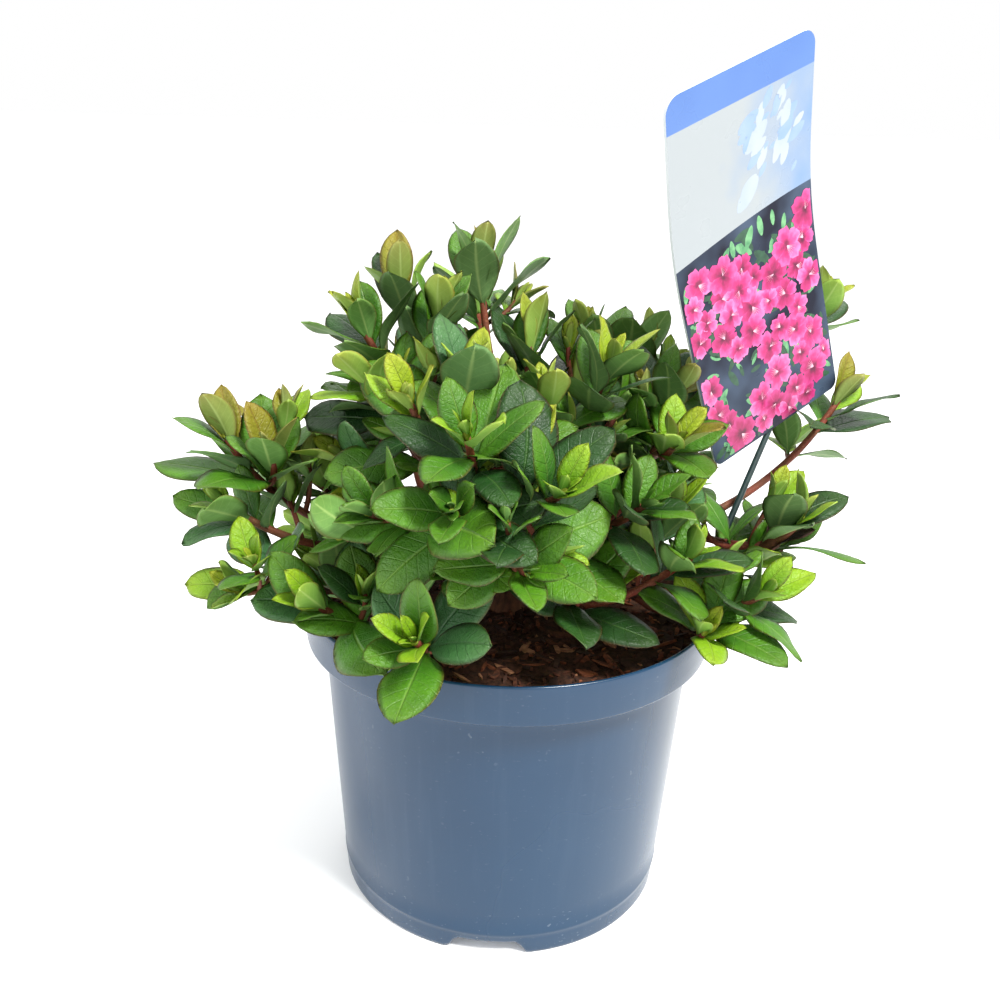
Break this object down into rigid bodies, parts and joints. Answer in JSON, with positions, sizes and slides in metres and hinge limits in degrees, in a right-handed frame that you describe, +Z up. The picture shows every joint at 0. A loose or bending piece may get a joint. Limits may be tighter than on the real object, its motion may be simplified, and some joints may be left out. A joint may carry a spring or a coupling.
{
  "type": "potted azalea shrub",
  "caption": "Small evergreen azalea shrub with a short branching stem and whorled leaves, in a round plastic nursery pot with a plain plant label on a rod.",
  "frame": {"origin": "centre of the pot's flat underside", "axes": "+Z up along the pot's axis; -Y towards the front; +X towards the side where the label stands"},
  "size_m": [0.3119, 0.2384, 0.3496],
  "materials": {
    "pot_plastic": "smooth blue-grey injection-moulded plastic with a soft sheen",
    "compost": "damp dark brown compost with bark chips",
    "bark": "red-brown twig bark, rough",
    "foliage": "satin evergreen leaves, yellow-green and bronze where young",
    "card": "printed plastic card, plain bands of colour and a pattern of pink flowers",
    "rod": "dark plastic rod"
  },
  "bodies": {
    "root": {"bough_back": "bark", "bough_back_left": "bark", "bough_back_right": "bark", "bough_front_left": "bark", "bough_front_right": "bark", "bough_left": "bark", "bough_middle": "bark", "bough_middle_left": "bark", "bough_middle_right": "bark", "bough_right": "bark", "bough_right_low": "bark", "bough_top": "bark", "bough_top_left": "bark", "bough_top_right": "bark", "bough_upper_right": "bark", "compost": "compost", "foliage_back_high": "foliage", "foliage_back_left_high": "foliage", "foliage_back_left_low": "foliage", "foliage_back_low": "foliage", "foliage_back_right_high": "foliage", "foliage_back_right_low": "foliage", "foliage_centre": "foliage", "foliage_centre_left": "foliage", "foliage_centre_low": "foliage", "foliage_centre_right": "foliage", "foliage_crown_left": "foliage", "foliage_front_low": "foliage", "foliage_front_right": "foliage", "foliage_front_rim": "foliage", "foliage_inner_right": "foliage", "foliage_left_high": "foliage", "foliage_left_low": "foliage", "foliage_left_rim": "foliage", "foliage_left_top": "foliage", "foliage_middle_right": "foliage", "foliage_right_back": "foliage", "foliage_right_far": "foliage", "foliage_right_low": "foliage", "foliage_right_middle": "foliage", "foliage_right_rim": "foliage", "foliage_right_top": "foliage", "foliage_top": "foliage", "foliage_top_left": "foliage", "foliage_top_middle": "foliage", "foliage_top_right": "foliage", "label_card": "card", "label_rod": "rod", "pot": "pot_plastic", "trunk": "bark"}
  },
  "joints": []
}
